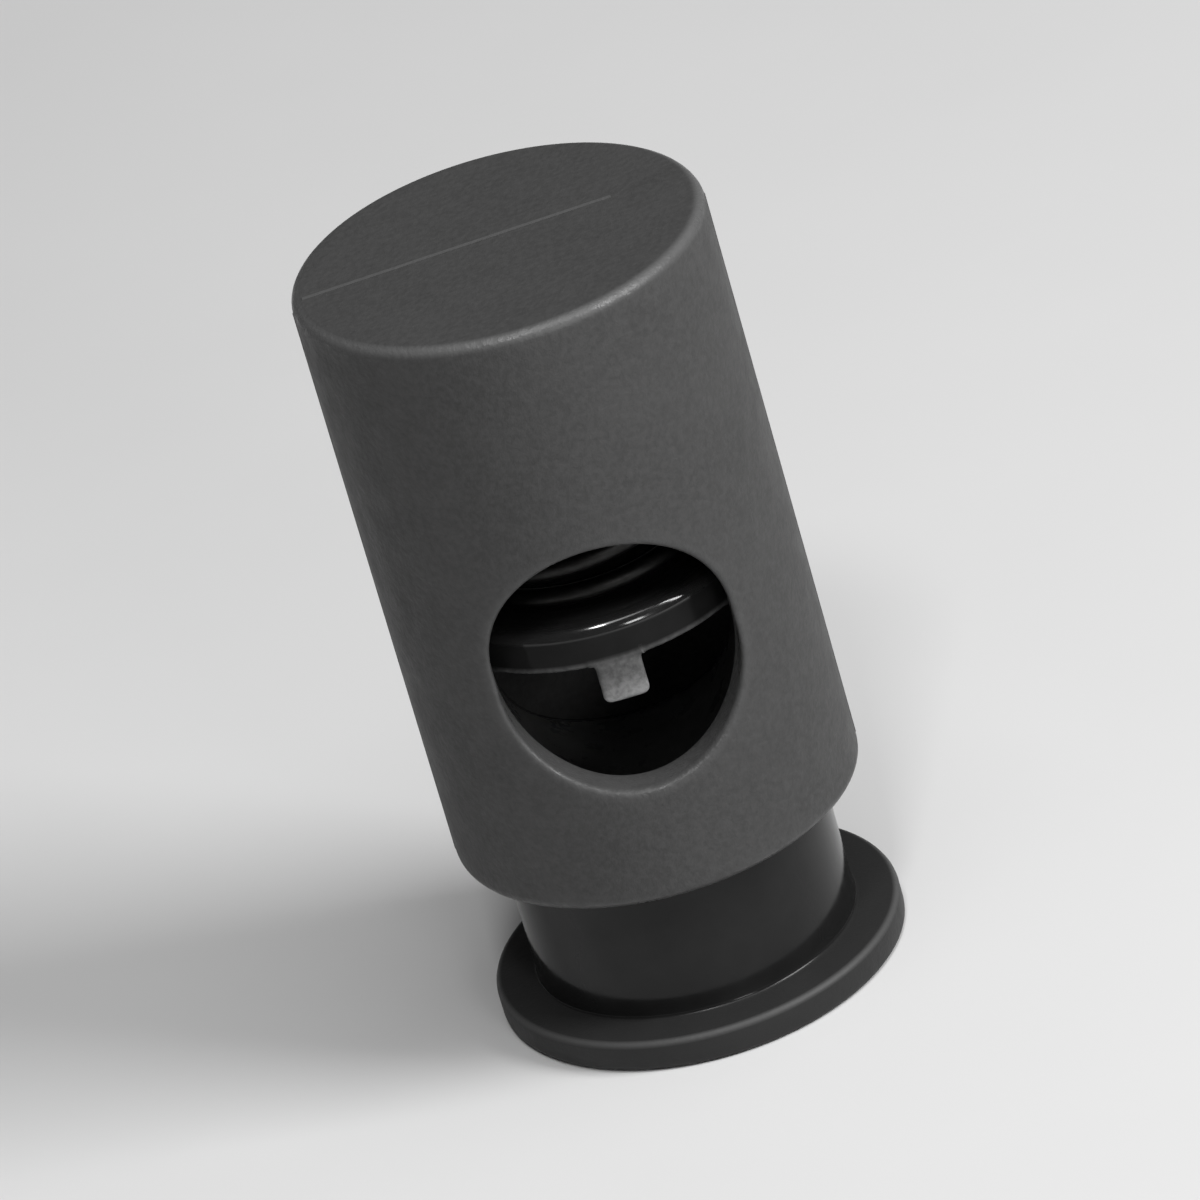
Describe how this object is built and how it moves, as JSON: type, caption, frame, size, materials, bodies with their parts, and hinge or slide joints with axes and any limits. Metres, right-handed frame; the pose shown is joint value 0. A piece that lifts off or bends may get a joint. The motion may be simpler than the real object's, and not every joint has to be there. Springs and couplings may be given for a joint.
{
  "type": "cord lock",
  "caption": "Cylindrical spring cord lock: closed barrel with an oval cord hole, and a plunger with a finger disc that pinches the cords.",
  "frame": {"origin": "middle of the outer face of the plunger's disc, with the plunger released", "axes": "+Z along the barrel towards its closed end; +Y along the way the cords run, with the front at -Y; +X across the cord hole"},
  "size_m": [0.0136, 0.0136, 0.0269],
  "materials": {
    "barrel_plastic": "dark grey, fine even spark-eroded grain",
    "plunger_plastic": "near-black moulding, polished stem and fine-grained disc",
    "spring_steel": "drawn spring wire"
  },
  "bodies": {
    "barrel": {"barrel": "barrel_plastic", "spring": "spring_steel"},
    "plunger": {"plunger": "plunger_plastic"}
  },
  "joints": [
    {"name": "plunger_press", "type": "slide", "parent": "barrel", "child": "plunger", "axis": [0, 0, 1], "range_m": [0, 0.0049], "stiffness_N_per_m": 1100, "springref_m": -0.003, "deforming": ["spring"]}
  ]
}
